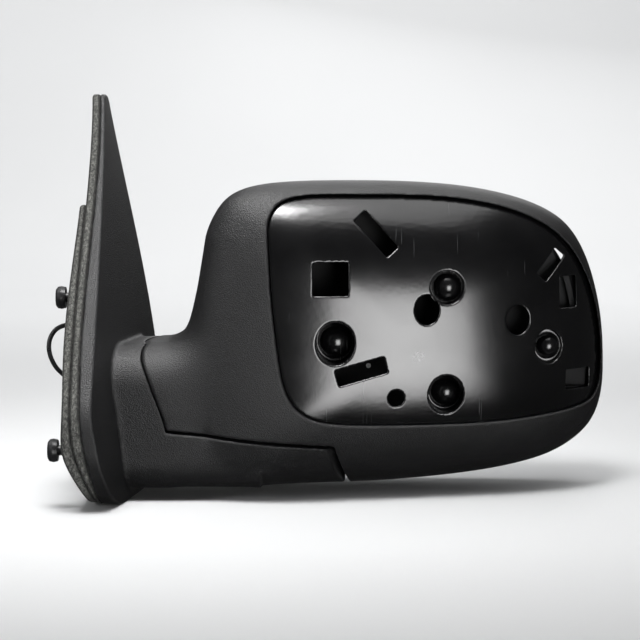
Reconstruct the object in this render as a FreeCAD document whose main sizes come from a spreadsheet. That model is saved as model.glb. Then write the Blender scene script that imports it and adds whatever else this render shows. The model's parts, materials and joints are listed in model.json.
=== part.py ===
import FreeCAD, Part
import math
import os

import Sketcher
from FreeCAD import Placement, Rotation, Vector

# Left-hand fold-away door mirror, with its paintable cap off.
# Frame: X = 0 is the plane where the base bracket's pads meet the door, +X is outboard, -Y is the vehicle's
# forward direction, so the smooth front panel faces -Y and the glass faces +Y, and +Z is up.
# The origin is the centre of the middle pad. Everything is in millimetres.

doc = FreeCAD.newDocument("DoorMirror")
sheet = doc.addObject("Spreadsheet::Sheet", "Sizes")

# ---------------------------------------------------------------- driving dimensions

DRIVING = {
    # moulded walls
    "cover_wall": 3.0,
    "panel_wall": 3.0,
    "panel_recess": 2.5,
    "panel_gap": 0.7,
    "panel_ledge": 4.0,
    "ledge_wall": 2.4,
    # head
    "head_centre_x": 258.0,
    "head_centre_z": 58.0,
    "head_depth": 61.0,
    "head_widest_y": 11.0,
    "head_sweep": 0.18,
    "rear_plane": 58.0,
    "lip_depth": 11.0,
    "lip_wall": 2.5,
    # fold joint, in the frame of the leaning fold axis
    "fold_x": 131.0,
    "fold_z": -18.0,
    "fold_lean": 5.5,
    "fold_gap": 2.0,
    "platform_radius": 77.0,
    "skirt_radius": 80.5,
    "neck_gap": 1.0,
    "hub_hole_radius": 26.0,
    "boss_radius": 25.0,
    "boss_height": 29.5,
    "boss_top": -4.0,
    "tube_radius": 12.0,
    "tube_bore": 9.5,
    "tube_length": 87.0,
    "detent_radius": 24.0,
    "detent_height": 2.6,
    "detent_gap": 1.5,
    "detent_bump": 1.2,
    "bush_radius": 15.0,
    "bush_clearance": 0.05,
    "hub_radius": 24.0,
    "hub_height": 20.0,
    "washer_height": 1.2,
    "spring_radius": 17.5,
    "spring_wire": 1.8,
    "spring_pitch": 5.0,
    "spring_turns": 4.0,
    "retainer_radius": 21.0,
    "retainer_height": 3.0,
    # base bracket and pegs
    "pad_height": 3.0,
    "pad_radius": 13.0,
    "plate_height": 6.0,
    "bolt_radius": 3.0,
    "bolt_pad_radius": 10.0,
    "peg_head_radius": 8.8,
    "peg_head_height": 7.3,
    "peg_neck_radius": 3.85,
    "peg_foot_radius": 6.0,
    "peg_shank_radius": 4.0,
    "peg_reach": 17.4,
    "peg_nut_radius": 7.0,
    "peg_nut_height": 3.5,
    "small_screw_radius": 1.8,
    "small_screw_head": 3.8,
    "small_screw_length": 14.0,
    "small_screw_cap": 2.2,
    # harness
    "cord_radius": 1.8,
    "grommet_radius": 6.0,
    "grommet_flange": 8.5,
    "coil_radius": 20.0,
    "coil_height": 7.2,
    # glass and its actuator
    "glass_x": 262.0,
    "glass_z": 64.0,
    "glass_wall": 2.4,
    "heater_wall": 0.5,
    "backing_wall": 2.6,
    "backing_front": 46.0,
    "pivot_y": 40.5,
    "case_radius": 46.0,
    "case_wall": 2.0,
    "case_front": 13.5,
    "case_split": 24.0,
    "case_rear": 34.5,
    "plunger_arm": 30.0,
    "plunger_start": 20.4,
    "plunger_ball_y": 43.4,
    "plunger_radius": 4.5,
    "plunger_ball": 3.6,
    "plunger_neck": 2.2,
    "wheel_radius": 9.5,
    "wheel_height": 5.0,
    "worm_radius": 2.4,
    "worm_length": 11.0,
    "motor_radius": 6.0,
    "motor_length": 20.0,
    "ring_radius": 15.0,
    "ring_wall": 3.0,
    "ring_height": 4.0,
    "trunnion_radius": 1.5,
    "frame_front": 10.0,
    "frame_wall": 3.0,
}

for row, (alias, number) in enumerate(DRIVING.items(), start=1):
    sheet.set(f"A{row}", alias)
    sheet.set(f"B{row}", str(number))
    sheet.setAlias(f"B{row}", alias)
doc.recompute()


class Size:
    """A driving dimension, or a sum or product of several: its number, and the expression that binds it."""

    def __init__(self, number, text):
        self.number = number
        self.text = text

    @staticmethod
    def of(other):
        return other if isinstance(other, Size) else Size(float(other), f"({float(other)})")

    def __add__(self, other):
        other = Size.of(other)
        return Size(self.number + other.number, f"({self.text} + {other.text})")

    def __sub__(self, other):
        other = Size.of(other)
        return Size(self.number - other.number, f"({self.text} - {other.text})")

    def __mul__(self, other):
        other = Size.of(other)
        return Size(self.number * other.number, f"({self.text} * {other.text})")


def size(alias):
    return Size(float(sheet.get(alias)), f"Sizes.{alias}")


def mm(alias):
    return float(sheet.get(alias))


# Radial clearance of the gimbal ring's pins in their lugs.
PIN_CLEARANCE = 0.05

# ---------------------------------------------------------------- building blocks

NODES = []


def node(shape_object, label):
    """Name an object as one sub-part of the mirror."""
    shape_object.Label = label
    NODES.append(shape_object)
    return shape_object


def primitive(kind, name, place=None, **sizes):
    """A Part primitive with its sizes bound to the sheet."""
    made = doc.addObject(f"Part::{kind}", name)
    for prop, value in sizes.items():
        made.setExpression(prop, Size.of(value).text)
    if place:
        made.Placement = place
    return made


def feature(name, shape):
    """A free-form shape worked out from the sheet."""
    made = doc.addObject("Part::Feature", name)
    made.Shape = shape
    return made


def fused(name, *pieces):
    made = doc.addObject("Part::MultiFuse", name)
    made.Shapes = list(pieces)
    return made


def less(name, base, *tools):
    made = doc.addObject("Part::Cut", name)
    made.Base = base
    made.Tool = tools[0] if len(tools) == 1 else fused(f"{name}_tools", *tools)
    return made


def origin_plane(body, role):
    return next(f for f in body.Origin.OriginFeatures if f.Role == role)


def outline_sketch(body, name, role, corners):
    """A closed straight-sided sketch on one of the body's origin planes, each corner bound to the sheet."""
    sketch = body.newObject("Sketcher::SketchObject", name)
    sketch.AttachmentSupport = [(origin_plane(body, role), "")]
    sketch.MapMode = "FlatFace"
    corners = [(Size.of(across), Size.of(up)) for across, up in corners]
    places = [Vector(across.number, up.number, 0) for across, up in corners]
    for index, place in enumerate(places):
        sketch.addGeometry(Part.LineSegment(place, places[(index + 1) % len(places)]), False)
    for index in range(len(places)):
        following = (index + 1) % len(places)
        sketch.addConstraint(Sketcher.Constraint("Coincident", index, 2, following, 1))
    for index, pair in enumerate(corners):
        for way, value in zip(("DistanceX", "DistanceY"), pair):
            count = sketch.addConstraint(Sketcher.Constraint(way, -1, 1, index, 1, value.number))
            sketch.setExpression(f"Constraints[{count}]", value.text)
    return sketch


def turned(name, profile, place=None):
    """A PartDesign body turned about its own Z axis from (radius, height) corners."""
    body = doc.addObject("PartDesign::Body", name)
    sketch = outline_sketch(body, f"{name}_profile", "XZ_Plane", profile)
    revolution = body.newObject("PartDesign::Revolution", f"{name}_turn")
    revolution.Profile = sketch
    revolution.ReferenceAxis = (sketch, ["V_Axis"])
    revolution.Angle = 360
    if place:
        body.Placement = place
    return body


def copies(name, source_shape, places):
    """Identical pieces as one node: a compound of separate solids."""
    solids = []
    for place in places:
        solid = source_shape.copy()
        solid.Placement = place.multiply(source_shape.Placement)
        solids.append(solid)
    return feature(name, Part.makeCompound(solids))


def rounded(corners, to_vector):
    """A closed wire through (across, up, corner radius) points, with tangent arcs at its corners."""
    edges = []
    ends = []
    for index, (across, up, radius) in enumerate(corners):
        corner = Vector(across, up, 0)
        before = Vector(*corners[index - 1][:2], 0) - corner
        after = Vector(*corners[(index + 1) % len(corners)][:2], 0) - corner
        half_turn = before.getAngle(after) / 2
        before.normalize()
        after.normalize()
        reach = radius / math.tan(half_turn)
        start = corner + before * reach
        end = corner + after * reach
        inward = (before + after).normalize()
        centre = corner + inward * (radius / math.sin(half_turn))
        middle = centre - inward * radius
        ends.append((start, middle, end, radius))
    for index, (start, middle, end, radius) in enumerate(ends):
        if radius > 0:
            edges.append(Part.Arc(to_vector(start), to_vector(middle), to_vector(end)).toShape())
        following = ends[(index + 1) % len(ends)][0]
        if (following - end).Length > 0.01:
            edges.append(Part.makeLine(to_vector(end), to_vector(following)))
    return Part.Wire(edges)


def in_xz(flat):
    return Vector(flat.x, 0, flat.y)


def in_yz(flat):
    return Vector(0, flat.x, flat.y)


def prism(wire, start, end):
    """The solid between two positions along the normal of a flat wire in the XZ or YZ plane."""
    box = wire.BoundBox
    along = Vector(0, 1, 0) if box.YLength < 0.001 else Vector(1, 0, 0)
    face = Part.Face(wire)
    face.translate(along * start)
    return face.extrude(along * (end - start))


def smooth_loop(points):
    """A closed smooth curve through points in the XZ plane."""
    curve = Part.BSplineCurve()
    curve.interpolate(Points=[Vector(x, 0, z) for x, z in points], PeriodicFlag=True)
    return Part.Wire(curve.toShape())


def block(low, high):
    return Part.makeBox(*(b - a for a, b in zip(low, high)), Vector(*low))


def rod(radius, start, end):
    """A round bar from one point to another."""
    start = Vector(*start)
    along = Vector(*end) - start
    return Part.makeCylinder(radius, along.Length, start, along)


REARWARD = Rotation(Vector(0, 0, 1), Vector(0, 1, 0))
FOLD = Placement(
    Vector(mm("fold_x"), 0, mm("fold_z")), Rotation(Vector(0, 1, 0), mm("fold_lean"))
)


def on_fold(height=0.0):
    """The placement that puts a body's own Z axis on the fold axis, at a height above the parting plane."""
    return FOLD.multiply(Placement(Vector(0, 0, height), Rotation()))


def folded(shape):
    """A shape drawn about the Z axis, moved to the fold axis."""
    shape = shape.copy()
    shape.Placement = FOLD.multiply(shape.Placement)
    return shape


# ---------------------------------------------------------------- the outer form of head, neck and arm

HEAD_OUTLINE = [
    (87, 60), (91, 95), (94.5, 118), (99, 138.6), (105.5, 152.8), (114, 163.4), (129, 171.2), (150, 174.8),
    (193, 176.5), (265.5, 174.8), (293, 172.2), (329.5, 165.3), (357.5, 155.6), (377, 143), (392.5, 121),
    (403, 91), (408, 65), (410, 34), (408, 4), (400.5, -15), (386, -29.5), (368, -39.5), (345, -46.5),
    (317, -51.5), (277.4, -55.5), (220, -58), (150, -58.5), (110, -56.5), (91, -46), (84, -20), (84, 20),
]
# Shares of the outline, from the middle of the front surface to the widest section.
DOME_SHARES = (0.1, 0.3, 0.5, 0.66, 0.79, 0.89, 0.955, 0.988, 1.0)
DOME_FLATNESS = 2.6
DOME_SHOULDER = 2.2
DOME_REACH = 115.0
REAR_TAPER = 0.985


def head_ring(share, inset, rear=None):
    """One section of the head: the outline shrunk about the head's centre, in a plane swept like the head."""
    shrink = share * (1 - inset / DOME_REACH)
    rise = (1 - share**DOME_FLATNESS) ** (1 / DOME_SHOULDER) if share < 1 else 0.0
    centre = Vector(mm("head_centre_x"), 0, mm("head_centre_z"))
    places = []
    for x, z in HEAD_OUTLINE:
        place = centre + (Vector(x, 0, z) - centre) * shrink
        place.y = mm("head_widest_y") + inset - mm("head_depth") * rise
        place.y += mm("head_sweep") * (place.x - centre.x)
        if rear is not None:
            place.y = rear
        places.append(place)
    curve = Part.BSplineCurve()
    curve.interpolate(Points=places, PeriodicFlag=True)
    return Part.Wire(curve.toShape())


def dome(inset=0.0, rear=None):
    """The head's solid form, shrunk by an inset, from its front surface back to the rear plane."""
    rear = mm("rear_plane") if rear is None else rear
    front = Part.makeLoft([head_ring(share, inset) for share in DOME_SHARES], True, False)
    back = Part.makeLoft([head_ring(1.0, inset), head_ring(REAR_TAPER, inset, rear)], True, True)
    return front.fuse(back)


ARM_OUTLINE = [
    (14, 51, 0), (81, 54, 20), (99, 130, 0), (140, 130, 0), (140, -58.5, 0), (14, -58.5, 0),
]
ARM_FRONT = -48.0
ARM_REAR = 50.0
ARM_ROUND = 22.0
ARM_SHOULDER = 34.0


def arm_edges(solid, inset, shoulder):
    """The long edges of the bar's front and rear: its upper front ones, or all the others."""
    picked = []
    for edge in solid.Edges:
        box = edge.BoundBox
        off_end = min(abs(box.YMin - ARM_FRONT - inset), abs(box.YMin - ARM_REAR + inset))
        level = box.YLength < 0.01 and off_end < 0.01
        if level and box.XLength > 1 and box.XMin < 100 and shoulder == (box.YMin < 0 < box.ZMin):
            picked.append(edge)
    return picked


def arm(inset=0.0):
    """The arm and neck: a rounded bar from the sail into the head."""
    corners = []
    for x, z, radius in ARM_OUTLINE:
        ends = x in (ARM_OUTLINE[0][0], ARM_OUTLINE[3][0])
        corners.append((x if ends else x + inset, z - math.copysign(inset, z), radius))
    solid = prism(rounded(corners, in_xz), ARM_FRONT + inset, ARM_REAR - inset)
    solid = solid.makeFillet(ARM_SHOULDER - inset, arm_edges(solid, inset, True))
    return solid.makeFillet(ARM_ROUND - inset, arm_edges(solid, inset, False))


def body_form(inset=0.0, rear=None):
    """Head, neck and arm as one form, which the parting surfaces then divide."""
    return dome(inset, rear).fuse(arm(inset))


def fold_disc(radius, low, high):
    return folded(Part.makeCylinder(radius, high - low, Vector(0, 0, low)))


# Height above the parting plane and radius of the surface where the head's neck leaves the arm.
NECK_PROFILE = [(0, 78), (24, 86.6), (42, 92.6), (53, 93.4), (60, 89.5), (65, 80.5), (69, 77)]


def neck_bowl(offset, low, high):
    """The round solid about the fold axis that the arm leaves free for the neck."""
    curve = Part.BSplineCurve()
    curve.interpolate([Vector(radius + offset, 0, height) for height, radius in NECK_PROFILE])
    first = curve.value(curve.FirstParameter)
    last = curve.value(curve.LastParameter)
    corners = [last, Vector(last.x, 0, high), Vector(0, 0, high)]
    corners += [Vector(0, 0, low), Vector(first.x, 0, low), first]
    sides = [Part.makeLine(a, b) for a, b in zip(corners, corners[1:])]
    outline = Part.Face(Part.Wire([curve.toShape()] + sides))
    return folded(outline.revolve(Vector(0, 0, 0), Vector(0, 0, 1), 360))


def doorward_half(low, high):
    return folded(block((-150, -130, low), (0, 130, high)))


def base_region(gap):
    """What belongs to the base: all below the parting plane in the platform, and all doorward of it."""
    low = -100.0
    below = fold_disc(mm("platform_radius") - gap, low, -gap - mm("fold_gap") / 2)
    below = below.fuse(doorward_half(low, -gap - mm("fold_gap") / 2))
    beside = doorward_half(low, 200).cut(neck_bowl(mm("neck_gap") + gap, low, 201))
    return below.fuse(beside)


def not_head_region(gap):
    """What the head leaves free for the base, widened by a gap."""
    low = -100.0
    below = fold_disc(mm("skirt_radius") + gap, low, gap + mm("fold_gap") / 2)
    below = below.fuse(doorward_half(low, gap + mm("fold_gap") / 2))
    beside = doorward_half(low, 200).cut(neck_bowl(-gap, low, 201))
    return below.fuse(beside)


# ---------------------------------------------------------------- sail

# (along Y, up Z, corner radius), seen from the door side.
SAIL_OUTLINE = [(-96, -66, 48), (-96, 6, 40), (61, 243, 6), (77, 243, 6), (77, -66, 14)]
# Height, front edge, rim thickness and rear thickness of the sail's level sections.
SAIL_SECTIONS = [
    (-70, -145.7, 17.0, 56.5),
    (60, -64.1, 16.0, 50.0),
    (160, -1.4, 14.5, 31.5),
    (246, 52.6, 12.5, 14.0),
]
SAIL_REAR = 84.0


def sail_form(inset=0.0):
    """The wedge-shaped sail, thin along its front edge and thick along its rear edge."""
    sections = []
    for z, front, rim, thick in SAIL_SECTIONS:
        middle_y = (front + SAIL_REAR) / 2
        middle_x = rim + (thick - rim) * 0.6
        curve = Part.BSplineCurve()
        curve.interpolate(
            [
                Vector(rim - inset, front, z),
                Vector(middle_x - inset, middle_y, z),
                Vector(thick - inset, SAIL_REAR, z),
            ]
        )
        back = [Vector(thick - inset, SAIL_REAR, z), Vector(-20, SAIL_REAR, z), Vector(-20, front, z)]
        lines = [Part.makeLine(a, b) for a, b in zip(back, back[1:] + [Vector(rim - inset, front, z)])]
        sections.append(Part.Wire([curve.toShape()] + lines))
    return Part.makeLoft(sections, True, False).common(sail_prism(inset))


def sail_prism(inset=0.0, start=-20.0, end=80.0):
    wire = rounded(SAIL_OUTLINE, in_yz)
    if inset:
        wire = wire.makeOffset2D(-inset)
    return prism(wire, start, end)


# The door side's three boundaries, as (height, X): outer strip's face, joint between strips, cover's flange.
OUTER_FACE = [
    (158, -1), (120, -3.5), (80, -6), (40, -6), (0, -4.8), (-20, -4.6), (-32, -1), (-46, 5), (-66, 12),
]
STRIP_JOINT = [(250, 2.6), (120, 2.2), (0, 2.0), (-16, 3.6), (-32, 8), (-50, 14), (-66, 19)]
FLANGE_FACE = [(250, 8.6), (120, 8.8), (0, 9.5), (-16, 11.6), (-32, 14.6), (-50, 18.2), (-66, 22)]


def doorward_of(boundary):
    """Everything on the door side of a boundary curve."""
    curve = Part.BSplineCurve()
    curve.interpolate([Vector(x, 0, z) for z, x in boundary])
    top = Vector(boundary[0][1], 0, boundary[0][0])
    low = Vector(boundary[-1][1], 0, boundary[-1][0])
    far_top = Vector(-60, 0, top.z)
    far_low = Vector(-60, 0, low.z - 30)
    under = Vector(low.x, 0, low.z - 30)
    corners = [low, under, far_low, far_top, top]
    lines = [Part.makeLine(a, b) for a, b in zip(corners, corners[1:])]
    return prism(Part.Wire([curve.toShape()] + lines), -150, 150)


def sail_band(outer, inner, start=-30.0, end=80.0):
    return sail_prism(outer, start, end).cut(sail_prism(inner, start, end))


# ---------------------------------------------------------------- base

def base_cover():
    """One moulding: sail, arm and platform, hollow, with a flange round its door side."""
    wall = mm("cover_wall")
    behind = doorward_of(FLANGE_FACE)
    form = body_form()
    solid = sail_form().fuse(form.common(base_region(0))).cut(behind)
    flange_back = doorward_of([(z, x + wall) for z, x in FLANGE_FACE])
    hollow = sail_form(wall).cut(flange_back).fuse(sail_prism(12, -20, 30).common(sail_form(wall)))
    hollow = hollow.fuse(body_form(wall, mm("rear_plane") - wall).common(base_region(wall)))
    hollow = hollow.cut(sail_band(-5, 12, -20, 40).common(flange_back))
    solid = solid.cut(hollow)
    solid = solid.cut(fold_disc(mm("hub_hole_radius"), -20, 20))
    for y, z in COVER_SCREWS:
        post = rod(4.5, (mm("pad_height") + mm("plate_height") + 0.2, y, z), (60, y, z))
        post = post.common(sail_form(0.5))
        solid = solid.fuse(post).cut(rod(mm("small_screw_radius"), (0, y, z), (22, y, z)))
    return solid


PEGS = [(-70, -22), (-13, 87), (50, -34)]
COVER_SCREWS = [(-62, 26), (38, 150), (58, 30)]
GROMMET = (-8, 66)
SECURING_BOLT = (34, 66)


def base_bracket():
    """Die-cast bracket: plate, pads, arm and the boss that holds the pivot tube."""
    pad = mm("pad_height")
    face = pad + mm("plate_height")
    solid = sail_prism(14, pad, face).cut(block((pad, -120, -80), (face, 120, -47)))
    for y, z in PEGS:
        solid = solid.fuse(rod(mm("pad_radius"), (0, y, z), (pad, y, z)))
    solid = solid.fuse(block((0, -14, -14), (pad, 14, 14)))
    solid = solid.fuse(rod(mm("bolt_pad_radius"), (0, *SECURING_BOLT), (pad, *SECURING_BOLT)))
    solid = solid.cut(rod(mm("bolt_radius"), (-1, *SECURING_BOLT), (face + 1, *SECURING_BOLT)))
    solid = solid.fuse(block((pad, -24, -50), (118, 24, -28)))
    rib_corners = [(face, -4, -30), (face, -4, 44), (38, -4, -30), (face, -4, -30)]
    rib = Part.makePolygon([Vector(*corner) for corner in rib_corners])
    solid = solid.fuse(Part.Face(rib).extrude(Vector(0, 8, 0)))
    boss_low = mm("boss_top") - mm("boss_height")
    solid = solid.fuse(fold_disc(mm("boss_radius"), boss_low, mm("boss_top")))
    solid = solid.cut(fold_disc(mm("tube_radius"), boss_low - 1, mm("boss_top") + 1))
    for y, z in PEGS:
        solid = solid.cut(rod(mm("peg_shank_radius"), (-1, y, z), (face + 1, y, z)))
    for y, z in COVER_SCREWS:
        solid = solid.cut(rod(mm("small_screw_radius") + 0.2, (-1, y, z), (face + 1, y, z)))
    y, z = GROMMET
    return solid.cut(rod(mm("grommet_radius"), (-1, y, z), (face + 1, y, z)))


def gasket(face, back, outer, inner, top):
    """A foam strip round the sail between two boundary curves."""
    band = sail_band(outer, inner, -30, 60).common(block((-40, -120, -80), (60, 120, top)))
    return band.common(doorward_of(back)).cut(doorward_of(face))


node(feature("cover", base_cover()), "base_cover")
node(feature("bracket", base_bracket()), "base_bracket")
node(feature("inner_strip", gasket(STRIP_JOINT, FLANGE_FACE, 0, 10, 250)), "gasket_inner")
node(feature("outer_strip", gasket(OUTER_FACE, STRIP_JOINT, 1.2, 10, 157)), "gasket_outer")

peg_face = size("pad_height") + size("plate_height")
peg = turned(
    "peg",
    [
        (0, 0),
        (size("peg_head_radius") - 2.2, 0),
        (size("peg_head_radius") - 0.5, 1.4),
        (size("peg_head_radius"), size("peg_head_height") * 0.55),
        (size("peg_head_radius") - 0.7, size("peg_head_height")),
        (size("peg_neck_radius"), size("peg_head_height")),
        (size("peg_neck_radius"), size("peg_reach") - 6),
        (size("peg_foot_radius"), size("peg_reach")),
        (size("peg_shank_radius"), size("peg_reach")),
        (size("peg_shank_radius"), size("peg_reach") + peg_face),
        (size("peg_nut_radius"), size("peg_reach") + peg_face),
        (size("peg_nut_radius"), size("peg_reach") + peg_face + size("peg_nut_height")),
        (0, size("peg_reach") + peg_face + size("peg_nut_height")),
    ],
)
OUTBOARD = Rotation(Vector(0, 0, 1), Vector(1, 0, 0))
doc.recompute()
peg_places = [Placement(Vector(-mm("peg_reach"), y, z), OUTBOARD) for y, z in PEGS]
node(copies("pegs", peg.Shape, peg_places), "mounting_pegs")

screw = turned(
    "screw",
    [
        (0, 0),
        (size("small_screw_head") - 0.8, 0),
        (size("small_screw_head"), size("small_screw_cap") * 0.5),
        (size("small_screw_head"), size("small_screw_cap")),
        (size("small_screw_radius"), size("small_screw_cap")),
        (size("small_screw_radius"), size("small_screw_cap") + size("small_screw_length") - 1.5),
        (0, size("small_screw_cap") + size("small_screw_length")),
    ],
)
doc.recompute()
screw_x = mm("pad_height") - mm("small_screw_cap")
cover_screw_places = [Placement(Vector(screw_x, y, z), OUTBOARD) for y, z in COVER_SCREWS]
node(
    copies("cover_screw_set", screw.Shape, cover_screw_places),
    "cover_screws",
)

# ---------------------------------------------------------------- fold joint

tube_low = mm("boss_top") - mm("boss_height")
tube_place = on_fold(tube_low)
tube_height = size("tube_length")
tube = primitive("Cylinder", "tube_bar", tube_place, Radius=size("tube_radius"), Height=tube_height)
tube_bore = primitive("Cylinder", "tube_hole", tube_place, Radius=size("tube_bore"), Height=tube_height)
node(less("tube", tube, tube_bore), "pivot_tube")


def detent(name, label, low, side):
    """A detent plate: a ring with three bumps, or three sockets for them, on the side facing its twin."""
    body = turned(
        name,
        [
            (size("tube_radius") + 0.1, 0),
            (size("detent_radius"), 0),
            (size("detent_radius"), size("detent_height")),
            (size("tube_radius") + 0.1, size("detent_height")),
        ],
        on_fold(low),
    )
    doc.recompute()
    ring = feature(f"{name}_ring", body.Shape)
    height = mm("detent_bump")
    marks = []
    for turn in (90, 210, 330):
        angle = math.radians(turn)
        centre = Vector(18 * math.cos(angle), 18 * math.sin(angle), low)
        if side > 0:
            marks.append(Part.makeCone(3.4, 2.6, height, centre + Vector(0, 0, mm("detent_height"))))
        else:
            marks.append(Part.makeCone(4.2, 3.4, height + 0.3, centre))
    marks = feature(f"{name}_marks", folded(Part.makeCompound(marks)))
    combined = fused if side > 0 else less
    return node(combined(f"{name}_plate", ring, marks), label)


detent("lower_detent_body", "lower_detent", mm("boss_top"), 1)
upper_low = mm("boss_top") + mm("detent_height") + mm("detent_gap")
detent("upper_detent_body", "upper_detent", upper_low, -1)

hub_low = upper_low + mm("detent_height")
bush_bore = size("tube_radius") + size("bush_clearance")
node(
    turned(
        "bush",
        [
            (bush_bore, 0),
            (size("bush_radius"), 0),
            (size("bush_radius"), size("hub_height")),
            (bush_bore, size("hub_height")),
        ],
        on_fold(hub_low),
    ),
    "pivot_bush",
)
washer_low = hub_low + mm("hub_height") + 0.3
washer_profile = [
    (size("tube_radius") + 0.2, 0),
    (size("retainer_radius"), 0),
    (size("retainer_radius"), size("washer_height")),
    (size("tube_radius") + 0.2, size("washer_height")),
]
node(turned("washer", washer_profile, on_fold(washer_low)), "thrust_washer")

spring_low = washer_low + mm("washer_height") + mm("spring_wire")
helix = Part.makeHelix(mm("spring_pitch"), mm("spring_pitch") * mm("spring_turns"), mm("spring_radius"))
wire_section = Part.Wire(
    Part.makeCircle(mm("spring_wire"), Vector(mm("spring_radius"), 0, 0), Vector(0, 1, 0))
)
coil_spring = Part.Wire(helix).makePipeShell([wire_section], True, True)
coil_spring.Placement = on_fold(spring_low)
node(feature("spring", coil_spring), "fold_spring")

retainer_low = spring_low + mm("spring_pitch") * mm("spring_turns") + mm("spring_wire")
node(
    turned(
        "retainer",
        [
            (size("tube_radius"), 0),
            (size("retainer_radius"), 0),
            (size("retainer_radius"), size("retainer_height")),
            (size("tube_radius") + 2.5, size("retainer_height")),
            (size("tube_radius") + 2.5, size("retainer_height") + 2),
            (size("tube_radius"), size("retainer_height") + 2),
        ],
        on_fold(retainer_low),
    ),
    "spring_retainer",
)

# ---------------------------------------------------------------- head housing and front panel

PANEL_OUTLINE = [
    (145.6, 136), (147, 107.5), (148.4, 87), (151, 63.6), (154.3, 39.3), (159.2, 19.2), (167.5, 6),
    (180.5, -2),
    (200, -5.8), (227, -7.2), (276, -7.8), (320, -6.8), (357, -3.6), (384, 0.5), (399, 6.5), (405.5, 20),
    (407, 40), (404.5, 64), (398.5, 89), (388, 112), (370.5, 134), (350.6, 147), (323.2, 157), (296.7, 162.3),
    (261.3, 165.6), (213.2, 166.6), (170, 165.6), (156, 161.5), (148.3, 153),
]
# The lower inboard corner is cut off, clear of the base's platform.
GLASS_OUTLINE = [(138, 20, 24), (138, 153, 40), (383, 150, 75), (391, -24, 70), (230, -26, 40)]
# Centre X, centre Z, half width, half height and depth of each round feature.
WELLS = [
    (196.4, 56.2, 14.6, 16.4, 23),
    (281, 97, 12.7, 12.7, 13),
    (280.6, 15.6, 13.4, 14.8, 22),
    (360.5, 49.5, 10.8, 13.4, 10),
]
# Each well's ball, as a share of its half width.
WELL_BALL = 0.86
PANEL_POSTS = [WELLS[0][:2], WELLS[2][:2], WELLS[3][:2]]
THROUGH_HOLES = [(265.6, 80.5, 9.2, 11.3), (242.5, 13.7, 6.0, 6.2), (335.7, 71, 9.0, 11.2)]
# Centre X, centre Z, length, width and turn from level of each clip window.
WINDOWS = [
    (193, 104.4, 26.5, 25, 0), (227.3, 137.3, 36.5, 11.4, -48), (216, 34.7, 38, 12.5, 15),
    (362.5, 112, 24.5, 10, 50), (376.7, 90.6, 14, 24, 0), (385.4, 22.6, 20, 15.6, 0),
]


def shrunk(points, inset):
    """A loop's points moved inwards, towards the middle of the loop."""
    middle_x = sum(x for x, z in points) / len(points)
    middle_z = sum(z for x, z in points) / len(points)
    moved = []
    for x, z in points:
        reach = math.hypot(x - middle_x, z - middle_z)
        share = 1 - inset / reach
        moved.append((middle_x + (x - middle_x) * share, middle_z + (z - middle_z) * share))
    return moved


def front_y(solid, x, z):
    """Where a line along Y through (x, z) first meets a solid."""
    return solid.common(Part.makeLine(Vector(x, -200, z), Vector(x, 200, z))).BoundBox.YMin


def oval(x, z, half_width, half_height, start, end):
    unit = Part.makeCylinder(1, end - start, Vector(0, 0, 0), Vector(0, 1, 0))
    grow = FreeCAD.Matrix()
    grow.scale(half_width, 1, half_height)
    shape = unit.transformGeometry(grow)
    shape.translate(Vector(x, start, z))
    return shape


def window(x, z, length, width, turn, start, end):
    shape = block((-length / 2, start, -width / 2), (length / 2, end, width / 2))
    shape.Placement = Placement(Vector(x, 0, z), Rotation(Vector(0, 1, 0), -turn))
    return shape


def panel_rim():
    """The solid round the front opening that the shell's wall and the ledge under the panel are cut from."""
    around = prism(smooth_loop(shrunk(PANEL_OUTLINE, -mm("ledge_wall"))), -100, mm("frame_front") + 8)
    inside = prism(smooth_loop(shrunk(PANEL_OUTLINE, mm("panel_ledge"))), -101, mm("frame_front") + 9)
    return around.cut(inside)


def housing():
    """The textured head shell: open in front for the panel, behind for the glass and below for the hub."""
    wall = mm("cover_wall")
    rear = mm("rear_plane")
    shell = body_form().cut(not_head_region(0))
    shell = shell.cut(body_form(wall, rear - wall).cut(not_head_region(wall)))
    under_panel = mm("panel_recess") + mm("panel_wall") + 0.4
    ledge = panel_rim().common(dome().cut(dome(under_panel + mm("ledge_wall"))))
    shell = shell.fuse(ledge)
    seat = prism(smooth_loop(PANEL_OUTLINE), -100, rear - wall - mm("lip_depth")).cut(dome(under_panel))
    well = prism(smooth_loop(shrunk(PANEL_OUTLINE, mm("panel_ledge"))), -100, rear - wall - mm("lip_depth"))
    shell = shell.cut(seat).cut(well)
    glass = rounded(GLASS_OUTLINE, in_xz)
    opening = glass.makeOffset2D(5)
    lip = glass.makeOffset2D(5 + mm("lip_wall"))
    shell = shell.fuse(prism(lip, rear - wall - mm("lip_depth"), rear).cut(not_head_region(0)))
    shell = shell.cut(prism(opening, rear - wall - mm("lip_depth") - 1, rear + 1))
    return shell.cut(fold_disc(mm("hub_hole_radius"), -20, 20))


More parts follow.
